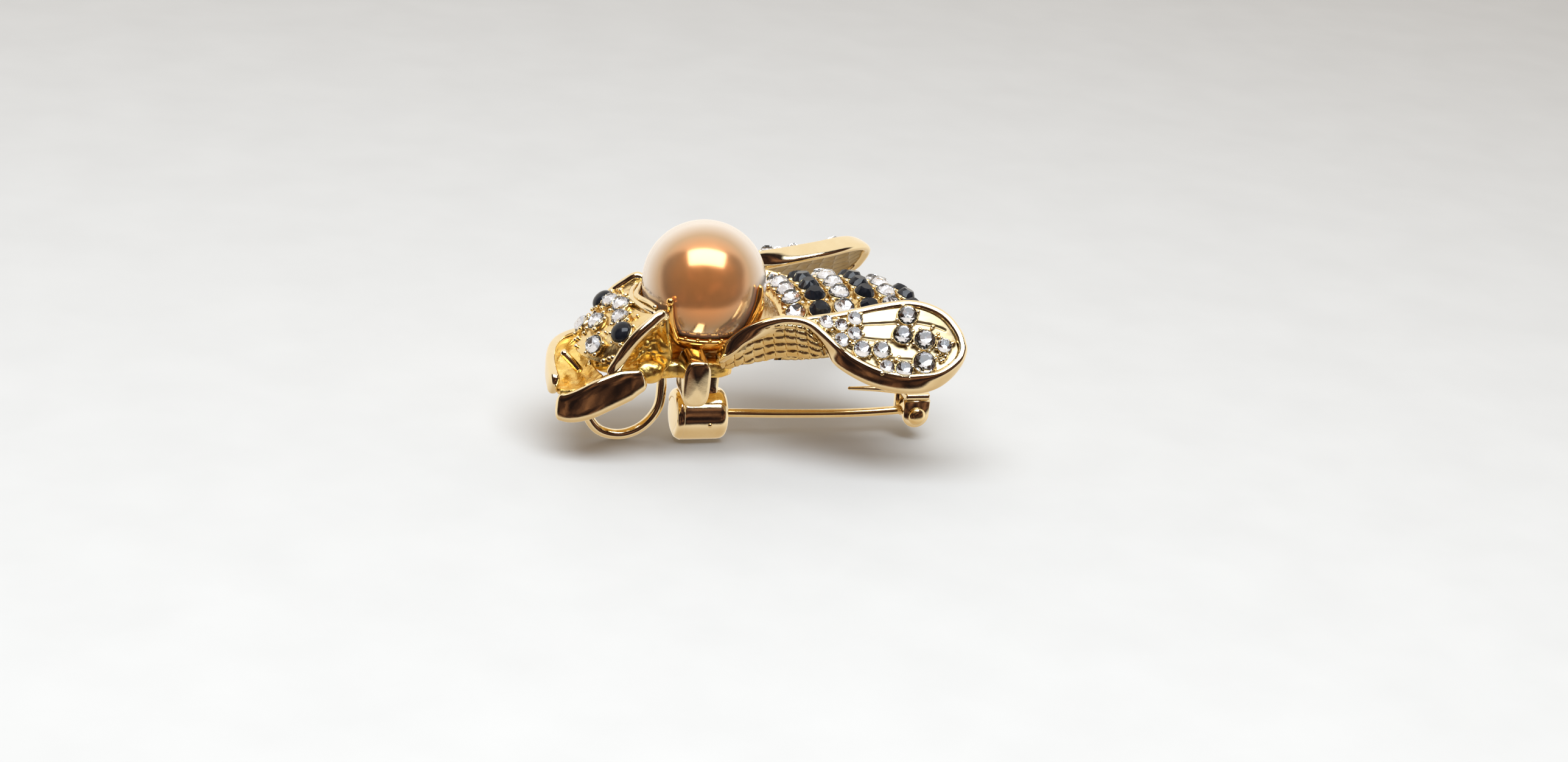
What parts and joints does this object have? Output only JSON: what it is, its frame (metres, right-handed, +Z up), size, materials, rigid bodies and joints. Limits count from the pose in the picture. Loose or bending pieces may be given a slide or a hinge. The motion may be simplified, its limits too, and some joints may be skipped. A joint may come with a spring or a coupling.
{
  "type": "bee brooch",
  "caption": "Gilt bee-shaped lapel brooch with a claw-set pearl, foil-backed stones, a hinged pin stem, a rolling safety catch and a wire bail.",
  "frame": {"origin": "bottom centre of the whole brooch's box, on the surface it stands on", "axes": "+X towards the tail and the pin hinge, +Y towards the far wing, +Z up away from the pin back"},
  "size_m": [0.0328, 0.026, 0.0186],
  "materials": {
    "polished_gold": "polished pale gold plating",
    "cast_gold": "as-cast gold plating, fine grain",
    "pearl": "pearlescent coating, pale pink-beige",
    "clear_stone": "foil-backed clear faceted glass",
    "jet_stone": "opaque black glass, polished"
  },
  "bodies": {
    "brooch": {"pearl": "pearl", "pearl_cup": "polished_gold", "thorax_frame": "cast_gold", "head_mask": "cast_gold", "front_leg_near": "polished_gold", "front_leg_far": "polished_gold", "proboscis": "polished_gold", "middle_leg_near": "polished_gold", "middle_leg_far": "polished_gold", "abdomen_shell": "cast_gold", "wing_near": "polished_gold", "wing_far": "polished_gold", "stone_row_1_clear": "clear_stone", "stone_row_2_black": "jet_stone", "stone_row_3_clear": "clear_stone", "stone_row_4_black": "jet_stone", "stone_row_5_clear": "clear_stone", "stone_row_6_black": "jet_stone", "wing_near_stone_01": "clear_stone", "wing_near_stone_02": "clear_stone", "wing_near_stone_03": "clear_stone", "wing_near_stone_04": "clear_stone", "wing_near_stone_05": "clear_stone", "wing_near_stone_06": "clear_stone", "wing_near_stone_07": "clear_stone", "wing_near_stone_08": "clear_stone", "wing_near_stone_09": "clear_stone", "wing_near_stone_10": "clear_stone", "wing_near_stone_11": "clear_stone", "wing_near_stone_12": "clear_stone", "wing_near_stone_13": "clear_stone", "wing_near_stone_14": "clear_stone", "wing_far_stone_01": "clear_stone", "wing_far_stone_02": "clear_stone", "wing_far_stone_03": "clear_stone", "wing_far_stone_04": "clear_stone", "wing_far_stone_05": "clear_stone", "wing_far_stone_06": "clear_stone", "wing_far_stone_07": "clear_stone", "wing_far_stone_08": "clear_stone", "wing_far_stone_09": "clear_stone", "wing_far_stone_10": "clear_stone", "wing_far_stone_11": "clear_stone", "wing_far_stone_12": "clear_stone", "wing_far_stone_13": "clear_stone", "wing_far_stone_14": "clear_stone", "eye_near": "jet_stone", "eye_far": "jet_stone", "head_stone_crown": "clear_stone", "head_stone_brow_near": "clear_stone", "head_stone_brow_far": "clear_stone", "head_stone_face": "clear_stone", "head_stone_cheek_near": "clear_stone", "head_stone_cheek_far": "clear_stone", "bail": "polished_gold", "catch_housing": "polished_gold", "hinge_bracket": "polished_gold", "hinge_rivet": "polished_gold"},
    "pin": {"pin_stem": "polished_gold"},
    "sleeve": {"catch_sleeve": "polished_gold"}
  },
  "joints": [
    {"name": "pin_hinge", "type": "hinge", "parent": "brooch", "child": "pin", "pos_m": [0.01526, -0.00188, 0.00215], "axis": [0, -1, 0], "range_deg": [0, 75]},
    {"name": "sleeve_turn", "type": "hinge", "parent": "brooch", "child": "sleeve", "pos_m": [-0.00319, -0.00188, 0.00215], "axis": [-1, 0, 0], "range_deg": [0, 90]}
  ]
}
